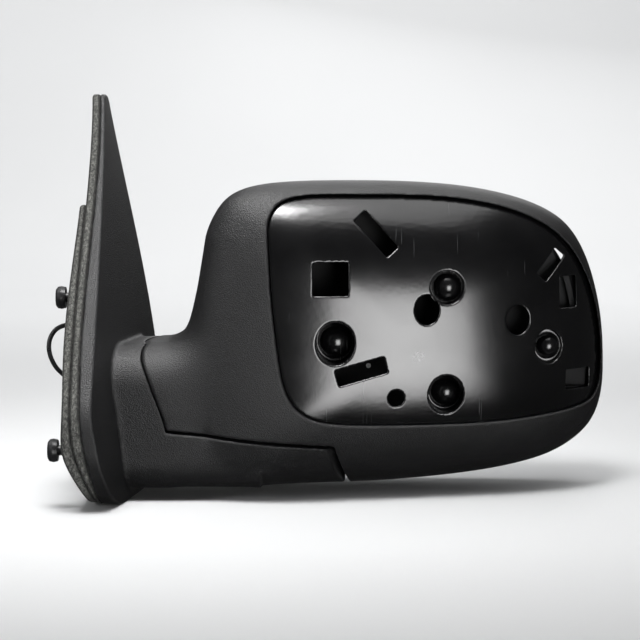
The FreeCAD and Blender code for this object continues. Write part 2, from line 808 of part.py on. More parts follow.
def front_panel():
    """The smooth cap carrier: a domed sheet with screw wells, clip windows and holes."""
    outer = dome(mm("panel_recess"))
    inner = dome(mm("panel_recess") + mm("panel_wall"))
    edge = smooth_loop(shrunk(PANEL_OUTLINE, mm("panel_gap")))
    rear = mm("rear_plane") - mm("cover_wall") - mm("lip_depth") - 2
    sheet_form = prism(edge, -100, rear).common(outer)
    panel = sheet_form.cut(inner)
    for x, z, half_width, half_height, depth in WELLS:
        face = front_y(outer, x, z)
        floor = face + depth
        cup = oval(x, z, half_width + 2, half_height + 2, face - 20, floor + 2).common(sheet_form)
        panel = panel.fuse(cup).cut(oval(x, z, half_width, half_height, face - 20, floor))
        boss = Part.makeSphere(half_width * WELL_BALL, Vector(x, floor + 1, z))
        panel = panel.fuse(boss.common(oval(x, z, half_width, half_height, face - 20, floor + 1)))
        if (x, z) in PANEL_POSTS:
            post_end = mm("frame_front")
            panel = panel.fuse(rod(6, (x, floor + 1, z), (x, post_end, z)))
            panel = panel.cut(rod(mm("small_screw_radius"), (x, post_end - 13, z), (x, post_end + 1, z)))
    for x, z, half_width, half_height in THROUGH_HOLES:
        face = front_y(outer, x, z)
        panel = panel.cut(oval(x, z, half_width, half_height, face - 20, face + 12))
    for x, z, length, width, turn in WINDOWS:
        face = front_y(outer, x, z)
        panel = panel.cut(window(x, z, length, width, turn, face - 20, face + 23))
    return panel


node(feature("shell", housing()), "housing_shell")
node(feature("panel", front_panel()), "front_panel")

# ---------------------------------------------------------------- inside the head

frame_y = mm("frame_front")
frame_back = frame_y + mm("frame_wall")
glass_x = mm("glass_x")
glass_z = mm("glass_z")
# Pockets behind the two outboard windows: low (X, Z) and high (X, Y, Z) of each, and whether it has an outer wall.
FRAME_POCKETS = [((373.8, 13), (397, 21, 32.2), False), ((367, 72), (400, 20.5, 108), True)]
POCKET_WALL = 2.2
FRAME_INBOARD = 160.0
FRAME_CLEARANCE = 1.2
CASE_SCREW_TURNS = (100, 220, 340)
CASE_SCREW_REACH = 51.0
CASE_SCREWS = [
    (
        glass_x + CASE_SCREW_REACH * math.cos(math.radians(turn)),
        glass_z + CASE_SCREW_REACH * math.sin(math.radians(turn)),
    )
    for turn in CASE_SCREW_TURNS
]


def head_frame():
    """The bulkhead that carries the actuator from the fold hub and closes the head behind the panel."""
    solid = dome(mm("panel_recess") + mm("panel_wall") + mm("ledge_wall") + FRAME_CLEARANCE)
    solid = solid.common(block((FRAME_INBOARD, frame_y, -100), (500, frame_back, 200)))
    solid = solid.cut(not_head_region(mm("cover_wall") + FRAME_CLEARANCE))
    beside = mm("panel_recess") + mm("panel_wall") + FRAME_CLEARANCE
    for low, high, walled in FRAME_POCKETS:
        wall = Vector(POCKET_WALL, POCKET_WALL, POCKET_WALL)
        low, high = Vector(low[0], frame_y, low[1]), Vector(high[0], high[1], high[2])
        solid = solid.fuse(block(low, high).common(dome(beside)))
        within = block(low + wall - Vector(0, 2 * POCKET_WALL, 0), high - wall)
        if walled:
            within = within.common(dome(beside + POCKET_WALL))
        solid = solid.cut(within)
    hub = fold_disc(mm("hub_radius"), hub_low, hub_low + mm("hub_height"))
    web = block((146, -10, -12), (172, frame_back, 0))
    solid = solid.fuse(web).fuse(hub)
    for x, z in PANEL_POSTS:
        solid = solid.cut(rod(mm("small_screw_radius"), (x, frame_y - 1, z), (x, frame_back + 1, z)))
    for x, z in CASE_SCREWS:
        solid = solid.cut(rod(2.0, (x, frame_y - 1, z), (x, frame_back + 1, z)))
    solid = solid.cut(rod(26, (glass_x, frame_y - 1, glass_z), (glass_x, frame_back + 1, glass_z)))
    return solid.cut(fold_disc(mm("bush_radius"), hub_low - 1, hub_low + mm("hub_height") + 1))


node(feature("frame", head_frame()), "head_frame")


def facing(x, y, z, rotation=REARWARD):
    """The placement that stands a body at a point, by default with its own Z axis towards the glass."""
    return Placement(Vector(x, y, z), rotation)


frame_screw_profile = [
    (0, 0),
    (size("small_screw_head"), 0),
    (size("small_screw_head"), size("small_screw_cap")),
    (size("small_screw_radius"), size("small_screw_cap")),
    (size("small_screw_radius"), size("small_screw_cap") + size("small_screw_length")),
    (0, size("small_screw_cap") + size("small_screw_length")),
]
machine_screw = turned("machine_screw", frame_screw_profile)
doc.recompute()
FORWARD = Rotation(Vector(0, 0, 1), Vector(0, -1, 0))
panel_screw_places = [facing(x, frame_back + mm("small_screw_cap"), z, FORWARD) for x, z in PANEL_POSTS]
node(copies("panel_screw_set", machine_screw.Shape, panel_screw_places), "panel_screws")

# ---- actuator: two half cases, each drive a motor, worm, wheel and plunger

drive_y = mm("case_front") + 6.0
TILT_DRIVE = (glass_x, glass_z + mm("plunger_arm"))
PAN_DRIVE = (glass_x + mm("plunger_arm"), glass_z)
case_solid = rod(mm("case_radius"), (glass_x, mm("case_front"), glass_z), (glass_x, mm("case_rear"), glass_z))
case_hollow = rod(
    mm("case_radius") - mm("case_wall"),
    (glass_x, mm("case_front") + mm("case_wall"), glass_z),
    (glass_x, mm("case_rear") - mm("case_wall"), glass_z),
)
case_shell = case_solid.cut(case_hollow)
ears = [rod(5.5, (x, mm("case_front"), z), (x, mm("case_front") + 5, z)) for x, z in CASE_SCREWS]
ear_bridges = [
    block((-4, mm("case_front"), mm("case_radius") - 2), (4, mm("case_front") + 5, 51)) for ear in ears
]
for ear, bridge, (x, z) in zip(ears, ear_bridges, CASE_SCREWS):
    turn = math.degrees(math.atan2(x - glass_x, z - glass_z))
    bridge.Placement = Placement(Vector(glass_x, 0, glass_z), Rotation(Vector(0, 1, 0), turn))
front_half = block((100, mm("case_front") - 1, -60), (400, mm("case_split") - 0.05, 200))
rear_half = block((100, mm("case_split") + 0.05, -60), (400, mm("case_rear") + 1, 200))
front_case = case_shell.common(front_half).multiFuse(ears + ear_bridges)
front_case = front_case.cut(case_hollow)
for x, z in CASE_SCREWS:
    front_case = front_case.cut(rod(2.0, (x, mm("case_front") - 1, z), (x, mm("case_front") + 6, z)))
node(feature("case_front_half", front_case), "actuator_front_case")

rear_case = case_shell.common(rear_half)
for x, z in (TILT_DRIVE, PAN_DRIVE):
    collar = rod(mm("plunger_radius") + 2.5, (x, mm("case_rear") - 5, z), (x, mm("case_rear") + 1, z))
    rear_case = rear_case.fuse(collar)
    hole = rod(mm("plunger_radius") + 0.3, (x, mm("case_rear") - 6, z), (x, mm("case_rear") + 2, z))
    rear_case = rear_case.cut(hole)
ring_reach = mm("ring_radius") + 0.6
for side in (-1, 1):
    ear_x = glass_x + side * (ring_reach + 1.5)
    lug_low = (ear_x - 1.5, mm("case_rear") - 1, glass_z - 3.5)
    lug_high = (ear_x + 1.5, mm("pivot_y") + 2.1, glass_z + 3.5)
    lug = block(lug_low, lug_high)
    pin_ends = [(ear_x + way * 3, mm("pivot_y"), glass_z) for way in (-1, 1)]
    pin_hole = rod(mm("trunnion_radius") + PIN_CLEARANCE, *pin_ends)
    rear_case = rear_case.fuse(lug).cut(pin_hole)
node(feature("case_rear_half", rear_case), "actuator_rear_case")


def drive(word, place, worm_side, across):
    """One drive: a motor and its worm beside a wheel that winds a plunger out towards the glass."""
    x, z = place
    ball_height = size("plunger_ball_y") - size("plunger_start")
    node(
        turned(
            f"{word}_wheel_body",
            [
                (size("plunger_radius") + 0.3, 0),
                (size("wheel_radius"), 0),
                (size("wheel_radius"), size("wheel_height")),
                (size("plunger_radius") + 0.3, size("wheel_height")),
            ],
            facing(x, drive_y, z),
        ),
        f"{word}_wheel",
    )
    node(
        turned(
            f"{word}_plunger_body",
            [
                (0, 0),
                (size("plunger_radius"), 0),
                (size("plunger_radius"), ball_height - 7),
                (size("plunger_neck"), ball_height - 5),
                (size("plunger_neck"), ball_height - 3),
                (size("plunger_ball"), ball_height - 1),
                (size("plunger_ball"), ball_height + 1),
                (2.0, ball_height + 2.5),
                (0, ball_height + 2.5),
            ],
            facing(x, mm("plunger_start"), z),
        ),
        f"{word}_plunger",
    )
    reach = size("wheel_radius") + size("worm_radius") + 0.3
    centre = Vector(x, drive_y + mm("wheel_height") / 2, z)
    sideways = Vector(0, 0, worm_side) if across else Vector(worm_side, 0, 0)
    along = Vector(1, 0, 0) if across else Vector(0, 0, 1)
    middle = centre + sideways * reach.number
    rotation = Rotation(Vector(0, 0, 1), along)
    worm_start = middle - along * (mm("worm_length") / 2)
    node(
        primitive(
            "Cylinder",
            f"{word}_worm_bar",
            Placement(worm_start, rotation),
            Radius=size("worm_radius"),
            Height=size("worm_length"),
        ),
        f"{word}_worm",
    )
    motor_start = worm_start - along * (mm("motor_length") + 0.5)
    node(
        primitive(
            "Cylinder",
            f"{word}_motor_can",
            Placement(motor_start, rotation),
            Radius=size("motor_radius") - 1.2,
            Height=size("motor_length"),
        ),
        f"{word}_motor",
    )


drive("tilt", TILT_DRIVE, -1, True)
drive("pan", PAN_DRIVE, -1, False)

case_screw_y = mm("case_front") + 5 + mm("small_screw_cap")
case_screw_places = [facing(x, case_screw_y, z, FORWARD) for x, z in CASE_SCREWS]
short_screw = turned(
    "short_screw",
    [
        (0, 0),
        (size("small_screw_head"), 0),
        (size("small_screw_head"), size("small_screw_cap")),
        (size("small_screw_radius"), size("small_screw_cap")),
        (size("small_screw_radius"), size("small_screw_cap") + 9),
        (0, size("small_screw_cap") + 9),
    ],
)
doc.recompute()
node(copies("case_screw_set", short_screw.Shape, case_screw_places), "actuator_screws")

# ---------------------------------------------------------------- glass

ring = turned(
    "gimbal",
    [
        (size("ring_radius") - size("ring_wall"), 0),
        (size("ring_radius"), 0),
        (size("ring_radius"), size("ring_height")),
        (size("ring_radius") - size("ring_wall"), size("ring_height")),
    ],
    facing(glass_x, mm("pivot_y") - mm("ring_height") / 2, glass_z),
)
doc.recompute()
trunnions = []
for way in (Vector(1, 0, 0), Vector(-1, 0, 0), Vector(0, 0, 1), Vector(0, 0, -1)):
    start = Vector(glass_x, mm("pivot_y"), glass_z) + way * (mm("ring_radius") - 1.5)
    trunnions.append(Part.makeCylinder(mm("trunnion_radius"), 4.6, start, way))
node(feature("gimbal_solid", ring.Shape.multiFuse(trunnions)), "gimbal_ring")


def glass_layer(start, thickness, inset):
    wire = rounded(GLASS_OUTLINE, in_xz)
    if inset:
        wire = wire.makeOffset2D(-inset)
    return prism(wire, start, start + thickness)


def backing():
    """The plate behind the glass, with the gimbal's two lugs and a socket for each plunger."""
    front = mm("backing_front")
    solid = glass_layer(front, mm("backing_wall"), 0)
    rim = glass_layer(front, mm("backing_wall") + mm("heater_wall") + 1.6, 0).cut(
        glass_layer(front - 1, 12, 1.4)
    )
    solid = solid.fuse(rim)
    for side in (-1, 1):
        lug_z = glass_z + side * (ring_reach + 1.5)
        lug_low = (glass_x - 3.5, mm("pivot_y") - 2.1, lug_z - 1.5)
        lug = block(lug_low, (glass_x + 3.5, front + 0.5, lug_z + 1.5))
        pin_ends = [(glass_x, mm("pivot_y"), lug_z + way * 3) for way in (-1, 1)]
        pin_hole = rod(mm("trunnion_radius") + PIN_CLEARANCE, *pin_ends)
        solid = solid.fuse(lug).cut(pin_hole)
    for x, z in (TILT_DRIVE, PAN_DRIVE):
        ball_y = mm("plunger_ball_y")
        collar = rod(mm("plunger_ball") + 3.6, (x, ball_y - 1.5, z), (x, front + 0.5, z))
        solid = solid.fuse(collar).cut(rod(mm("plunger_ball") + 1.9, (x, ball_y - 2, z), (x, front + 0.8, z)))
    return solid


node(feature("glass_back", backing()), "glass_backing")
heater_front = mm("backing_front") + mm("backing_wall")
node(feature("heater", glass_layer(heater_front, mm("heater_wall"), 3.0)), "heater_pad")
node(feature("glass", glass_layer(heater_front + mm("heater_wall"), mm("glass_wall"), 1.7)), "mirror_glass")

# ---------------------------------------------------------------- harness

grommet_y, grommet_z = GROMMET
node(
    turned(
        "grommet_body",
        [
            (size("cord_radius"), 0),
            (size("cord_radius") + 1.2, 0),
            (size("cord_radius") + 2.2, 5),
            (size("grommet_flange"), 5),
            (size("grommet_flange"), 7),
            (size("grommet_radius"), 7),
            (size("grommet_radius"), 7 + size("plate_height").number),
            (size("grommet_flange"), 7 + size("plate_height").number),
            (size("grommet_flange"), 9 + size("plate_height").number),
            (size("cord_radius"), 9 + size("plate_height").number),
        ],
        facing(mm("pad_height") - 7, grommet_y, grommet_z, OUTBOARD),
    ),
    "harness_grommet",
)

HARNESS_ROUTE = [
    (-4, -8, 66), (-15, -8, 65.5), (-23.5, -8.5, 57), (-25, -9, 45), (-20, -8.5, 32.5), (-12.5, -2, 24),
    (-9.5, 14, 20), (-9, 36, 18), (-9.5, 58, 15), (-8.5, 78, 8), (-4, 91, -8), (0, 96, -26),
    (5, 98, -43), (16, 97, -55), (32, 95.5, -60.5),
]
COIL_CENTRE = (40, 115.5, -61.4)


# How much of the shorter run at a bend its arc takes up, on each side.
BEND_SHARE = 0.45


def corded(points, radius):
    """A tube of straight runs joined by tangent arcs, each as large as its two runs allow."""
    points = [Vector(*point) for point in points]
    edges = []
    at = points[0]
    for before, corner, after in zip(points, points[1:], points[2:]):
        arriving = before - corner
        leaving = after - corner
        run = min(arriving.Length, leaving.Length)
        turn = math.pi - arriving.getAngle(leaving)
        arc_radius = BEND_SHARE * run / math.tan(turn / 2)
        print(f"cord bend of {arc_radius:.1f} mm over {math.degrees(turn):.0f} degrees")
        arriving.normalize()
        leaving.normalize()
        start = corner + arriving * BEND_SHARE * run
        end = corner + leaving * BEND_SHARE * run
        inward = (arriving + leaving).normalize()
        middle = corner + inward * (arc_radius / math.cos(turn / 2) - arc_radius)
        edges.append(Part.LineSegment(at, start).toShape())
        edges.append(Part.Arc(start, middle, end).toShape())
        at = end
    edges.append(Part.LineSegment(at, points[-1]).toShape())
    path = Part.Wire(edges)
    section = Part.Wire(Part.makeCircle(radius, points[0], points[1] - points[0]))
    tube = path.makePipeShell([section], True, True)
    filled = tube.Volume / (math.pi * radius**2 * path.Length)
    print(f"cord run of {path.Length:.1f} mm, volume over section times length {filled:.4f}")
    return tube


TAIL_START = (44, 95.5, -61)
PLUG_START = (62, 95.5, -61)
coil_low = COIL_CENTRE[2] - mm("coil_height") / 2
coil_base = Vector(COIL_CENTRE[0], COIL_CENTRE[1], coil_low)
coil_wide = Part.makeCylinder(mm("coil_radius") + mm("coil_height") / 2, mm("coil_height"), coil_base)
coil_hole = Part.makeCylinder(mm("coil_radius") - mm("coil_height") / 2, mm("coil_height"), coil_base)
coil = coil_wide.cut(coil_hole)
lead = corded(HARNESS_ROUTE, mm("cord_radius")).cut(coil)
tail = rod(mm("cord_radius"), TAIL_START, PLUG_START).cut(coil)
node(feature("cord", Part.makeCompound(lead.Solids + tail.Solids)), "harness")
node(feature("coil", coil), "harness_coil")


def coil_tie():
    """A flat tie round the coil's turns."""
    low = mm("coil_height") / 2
    far = (COIL_CENTRE[0], COIL_CENTRE[1] + mm("coil_radius"), COIL_CENTRE[2])
    outer = block(
        (far[0] - 2, far[1] - low - 0.7, far[2] - low - 0.7),
        (far[0] + 2, far[1] + low + 1.2, far[2] + low + 0.7),
    )
    inner = block(
        (far[0] - 3, far[1] - low - 0.2, far[2] - low - 0.02),
        (far[0] + 3, far[1] + low + 0.05, far[2] + low + 0.02),
    )
    return outer.cut(inner)


node(feature("tie", coil_tie()), "harness_tie")


PLUG_SIZE = (22, 15, 9.6)
TERMINAL = 2.4


def plug():
    """A six-way connector with a latch, at the harness's free end."""
    x, y, z = PLUG_START
    length, width, height = PLUG_SIZE
    body = block((x, y - width / 2, z - height / 2), (x + length, y + width / 2, z + height / 2))
    body = body.makeFillet(0.8, [edge for edge in body.Edges if edge.BoundBox.XLength > 1])
    latch = block((x + 7, y - 3, z + height / 2 - 0.2), (x + length - 1, y + 3, z + height / 2 + 1.6))
    body = body.fuse(latch)
    for column in (-1, 0, 1):
        for row in (-1, 1):
            low_y = y + column * 4.2 - TERMINAL / 2
            low_z = z + row * 2.1 - TERMINAL / 2
            cavity_high = (x + length + 1, low_y + TERMINAL, low_z + TERMINAL)
            body = body.cut(block((x + length - 8, low_y, low_z), cavity_high))
    return body


node(feature("connector", plug()), "harness_plug")

doc.recompute()
for made in doc.Objects:
    if "Invalid" in made.State or "Error" in made.State:
        raise RuntimeError(f"{made.Label} did not recompute: {made.State}")
    if hasattr(made, "Shape") and not made.Shape.isNull() and not made.Shape.isValid():
        raise RuntimeError(f"{made.Label} has a faulty shape")
for made in NODES:
    if made.Shape.isNull() or not made.Shape.Solids:
        raise RuntimeError(f"{made.Label} has no solid")
os.makedirs("parts", exist_ok=True)
for made in NODES:
    made.Shape.exportStep(f"parts/{made.Label}.step")
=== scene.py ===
"""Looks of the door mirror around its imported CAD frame. Metres, +X outboard, -Y forward, +Z up."""

import json
import math

import bmesh
import bpy
import numpy as np
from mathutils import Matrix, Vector, kdtree
from mathutils.bvhtree import BVHTree


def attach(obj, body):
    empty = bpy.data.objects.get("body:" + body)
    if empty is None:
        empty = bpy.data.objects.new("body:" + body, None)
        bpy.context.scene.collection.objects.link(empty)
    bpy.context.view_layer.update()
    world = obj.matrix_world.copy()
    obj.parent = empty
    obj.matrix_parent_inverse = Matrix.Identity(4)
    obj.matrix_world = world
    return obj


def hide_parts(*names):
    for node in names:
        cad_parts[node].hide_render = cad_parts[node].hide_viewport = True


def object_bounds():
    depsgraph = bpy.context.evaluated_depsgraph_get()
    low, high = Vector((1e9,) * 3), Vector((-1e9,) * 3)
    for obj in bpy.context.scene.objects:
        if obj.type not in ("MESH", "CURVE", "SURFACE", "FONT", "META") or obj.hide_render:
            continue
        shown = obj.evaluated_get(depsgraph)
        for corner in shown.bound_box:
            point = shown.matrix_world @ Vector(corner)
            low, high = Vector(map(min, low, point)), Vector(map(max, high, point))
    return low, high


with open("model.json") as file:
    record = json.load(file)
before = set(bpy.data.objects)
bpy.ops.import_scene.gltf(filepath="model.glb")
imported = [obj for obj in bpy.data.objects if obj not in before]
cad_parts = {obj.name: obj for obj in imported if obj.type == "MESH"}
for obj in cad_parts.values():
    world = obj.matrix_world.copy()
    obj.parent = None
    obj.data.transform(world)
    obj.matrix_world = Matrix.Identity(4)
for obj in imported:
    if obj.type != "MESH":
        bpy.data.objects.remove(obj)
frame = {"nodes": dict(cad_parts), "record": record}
cad_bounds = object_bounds()
nodes = frame["nodes"]
record = frame["record"]
scene = bpy.context.scene
MM = 0.001
FLOOR_Z = cad_bounds[0][2]
BODY_OF = {name: body for body, names in record["behaviour"]["bodies"].items() for name in names}
SLOT_OF = {part["node"]: part["material_slot"] for part in record["subparts"]}


def linked(obj):
    scene.collection.objects.link(obj)
    return obj


# ---------------------------------------------------------------- camera

CAMERA_TARGET = Vector((0.185, -0.050, 0.0735))
CAMERA_DISTANCE = 1.45
CAMERA_RISE = math.radians(6.0)
CAMERA_LENS = 108.75
SENSOR_WIDTH = 36.0

camera_data = bpy.data.cameras.new("camera")
camera_data.sensor_width = SENSOR_WIDTH
camera_data.lens = CAMERA_LENS
camera_data.clip_start = 0.01
camera = linked(bpy.data.objects.new("camera", camera_data))
towards_camera = Vector((0, -math.cos(CAMERA_RISE), math.sin(CAMERA_RISE)))
camera.location = CAMERA_TARGET + CAMERA_DISTANCE * towards_camera
camera.rotation_euler = (math.radians(90) - CAMERA_RISE, 0, 0)
scene.camera = camera

# ---------------------------------------------------------------- harness

# The route of the harness in part.py, in millimetres.
HARNESS_ROUTE = [
    (-4, -8, 66), (-15, -8, 65.5), (-23.5, -8.5, 57), (-25, -9, 45), (-20, -8.5, 32.5), (-12.5, -2, 24),
    (-9.5, 14, 20), (-9, 36, 18), (-9.5, 58, 15), (-8.5, 78, 8), (-4, 91, -8), (0, 96, -26),
    (5, 98, -43), (16, 97, -55), (30, 95.5, -62.5),
]
CORD_RADIUS = 1.8
COIL_CENTRE = (40.0, 115.5)
COIL_RADIUS = 20.0
COIL_LOW = -63.6
COIL_TURNS = 2
COIL_POINTS = 20
# Where the cord starts to climb onto its first turn, and over how much of a turn.
CLIMB_START = 0.68
CLIMB_TURN = 0.2
# How far a loose turn strays from the round, and how often.
COIL_WAVER = 0.35
COIL_WAVES = 3.1
HARNESS_TAIL = [(50, 95.4, -60.0), (57, 95.5, -60.9), (62.4, 95.5, -61)]


def coil_points():
    """The coil's turns: the first lies on the floor, and the cord climbs onto it for the second."""
    points = []
    for step in range(1, COIL_TURNS * COIL_POINTS):
        turn = step / COIL_POINTS
        angle = 2 * math.pi * turn - math.pi / 2
        climb = min(max((turn - CLIMB_START) / CLIMB_TURN, 0.0), 1.0)
        rise = 2 * CORD_RADIUS * climb * climb * (3 - 2 * climb)
        reach = COIL_RADIUS + COIL_WAVER * math.sin(COIL_WAVES * angle)
        x = COIL_CENTRE[0] + reach * math.cos(angle)
        y = COIL_CENTRE[1] + reach * math.sin(angle)
        points.append((x, y, COIL_LOW + rise))
    return points


def cord_curve(name, points, radius):
    curve = bpy.data.curves.new(name, "CURVE")
    curve.dimensions = "3D"
    spline = curve.splines.new("NURBS")
    spline.points.add(len(points) - 1)
    for point, place in zip(spline.points, points):
        point.co = (place[0] * MM, place[1] * MM, place[2] * MM, 1.0)
        point.radius = radius * MM
    spline.order_u = 3
    spline.use_endpoint_u = True
    spline.resolution_u = 10
    # The bevel is 1 m, so that each point's radius is the cord's own.
    curve.bevel_depth = 1.0
    curve.bevel_resolution = 6
    curve.use_fill_caps = True
    return linked(bpy.data.objects.new(name, curve))


harness = cord_curve("wiring_harness", HARNESS_ROUTE + coil_points() + HARNESS_TAIL, CORD_RADIUS)
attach(harness, "base")
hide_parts("harness", "harness_coil")

# ---------------------------------------------------------------- moulded shells

WELD_GAP = 2e-6
# An edge that turns this much is rounded, and along an outer edge that turns this much the material paints a
# highlight (a darker band on the foam).
ROUNDED_TURN = math.radians(24)
OUTER_EDGE_TURN = math.radians(65)
# A blend starts this far in from an outer edge, and is whole from the second distance on.
BLEND_MARGIN = (1.5, 7)
# How far a vertex goes towards its neighbours' mean in each round, and how many rounds an edge gets.
PULL = 0.6
LEAST_WEIGHT = 0.001
EDGE_ROUNDS = 6
FEWEST_ROUNDS = 4


def welded(node):
    """The CAD node's mesh with its vertices merged, as bmesh."""
    mesh = bmesh.new()
    mesh.from_mesh(nodes[node].data)
    bmesh.ops.remove_doubles(mesh, verts=mesh.verts, dist=WELD_GAP)
    return mesh


def edge_tree(mesh, spacing, angle, outer_only=False):
    """A tree of points along the mesh's edges that turn by more than an angle."""
    places = []
    for edge in mesh.edges:
        if len(edge.link_faces) == 2:
            if edge.calc_face_angle(0.0) < angle or (outer_only and not edge.is_convex):
                continue
        start, end = edge.verts[0].co, edge.verts[1].co
        count = max(1, math.ceil((end - start).length / spacing))
        places.extend(start.lerp(end, step / count) for step in range(count + 1))
    tree = kdtree.KDTree(len(places))
    for index, place in enumerate(places):
        tree.insert(place, index)
    tree.balance()
    return tree


def smoothstep(values, low, high):
    share = np.clip((values - low) / (high - low), 0.0, 1.0)
    return share * share * (3 - 2 * share)


def relaxed(places, ends, weights, rounds):
    """Vertices drawn towards their neighbours' mean, as far as each one's weight lets it go."""
    near = (weights[ends] > LEAST_WEIGHT).any(axis=1)
    used, local_ends = np.unique(ends[near], return_inverse=True)
    local_ends = local_ends.reshape(-1, 2)
    first, second = local_ends[:, 0], local_ends[:, 1]
    local = places[used].copy()
    pull = PULL * weights[used]
    degree = np.bincount(first, minlength=len(used)) + np.bincount(second, minlength=len(used))
    # A vertex at the rim of the region has neighbours outside it, and stays.
    whole = np.bincount(ends.ravel(), minlength=len(places))[used] == degree
    pull *= whole
    for _ in range(rounds):
        for axis in range(3):
            total = np.bincount(first, local[second, axis], len(used))
            total += np.bincount(second, local[first, axis], len(used))
            local[:, axis] += pull * (total / degree - local[:, axis])
    result = places.copy()
    result[used] = local
    return result


class Blend:
    """A box with soft sides where a moulding's inner corners are blended to a radius, in millimetres."""

    def __init__(self, low, high, fade, radius):
        self.low, self.high, self.fade, self.radius = low, high, fade, radius

    def weights(self, places):
        share = np.ones(len(places))
        for axis in range(3):
            along = places[:, axis] / MM
            share *= smoothstep(along, self.low[axis], self.low[axis] + self.fade)
            share *= 1 - smoothstep(along, self.high[axis] - self.fade, self.high[axis])
        return share


def remeshed(name, source, voxel):
    """The source's shape as a new object of even voxels, each so many millimetres across."""
    plain = bpy.data.meshes.new(f"{name}_plain")
    source.to_mesh(plain)
    obj = linked(bpy.data.objects.new(name, plain))
    remesh = obj.modifiers.new("remesh", "REMESH")
    remesh.mode = "VOXEL"
    remesh.voxel_size = voxel * MM
    graph = bpy.context.evaluated_depsgraph_get()
    mesh = bpy.data.meshes.new_from_object(obj.evaluated_get(graph))
    obj.modifiers.clear()
    obj.data = mesh
    bpy.data.meshes.remove(plain)
    return obj


def moulded(node, name, voxel, round_mm, material, blends):
    """A copy of a CAD node whose faces stay on the CAD surface and whose edges are rounded, as a moulding's are.

    The distance to the nearest outer edge is kept in the mesh for the material.
    """
    source = welded(node)
    source.normal_update()
    surface = BVHTree.FromBMesh(source)
    sharp = edge_tree(source, 0.4 * MM, ROUNDED_TURN)
    hard = edge_tree(source, 0.8 * MM, OUTER_EDGE_TURN, outer_only=True)
    obj = remeshed(name, source, voxel)
    source.free()
    mesh = obj.data
    count = len(mesh.vertices)
    places = np.empty(count * 3, np.float32)
    mesh.vertices.foreach_get("co", places)
    places = places.reshape(-1, 3).astype(float)
    edge_distance = np.empty(count)
    hard_distance = np.empty(count)
    for index in range(count):
        found = surface.find_nearest(places[index])[0]
        places[index] = found
        edge_distance[index] = sharp.find(found)[2]
        hard_distance[index] = hard.find(found)[2]
    ends = np.empty(len(mesh.edges) * 2, np.int32)
    mesh.edges.foreach_get("vertices", ends)
    ends = ends.reshape(-1, 2)
    for blend in blends:
        inside = smoothstep(hard_distance, BLEND_MARGIN[0] * MM, BLEND_MARGIN[1] * MM)
        places = relaxed(places, ends, blend.weights(places) * inside, round((blend.radius / voxel) ** 2))
    free = 1 - smoothstep(edge_distance, 0.5 * round_mm * MM, 1.5 * round_mm * MM)
    places = relaxed(places, ends, free, max(FEWEST_ROUNDS, round((round_mm / voxel) ** 2 * EDGE_ROUNDS)))
    mesh.vertices.foreach_set("co", places.ravel().astype(np.float32))
    edge_attribute = mesh.attributes.new("edge_distance", "FLOAT", "POINT")
    edge_attribute.data.foreach_set("value", (hard_distance / MM).astype(np.float32))
    mesh.materials.clear()
    mesh.materials.append(material)
    mesh.polygons.foreach_set("use_smooth", np.ones(len(mesh.polygons), bool))
    mesh.polygons.foreach_set("material_index", np.zeros(len(mesh.polygons), np.int32))
    mesh.update()
    return obj


# ---------------------------------------------------------------- materials

# Sockets of the Mix node in its colour mode, which have no names of their own.
MIX_SHARE, MIX_FIRST, MIX_SECOND, MIX_RESULT = 0, 6, 7, 2


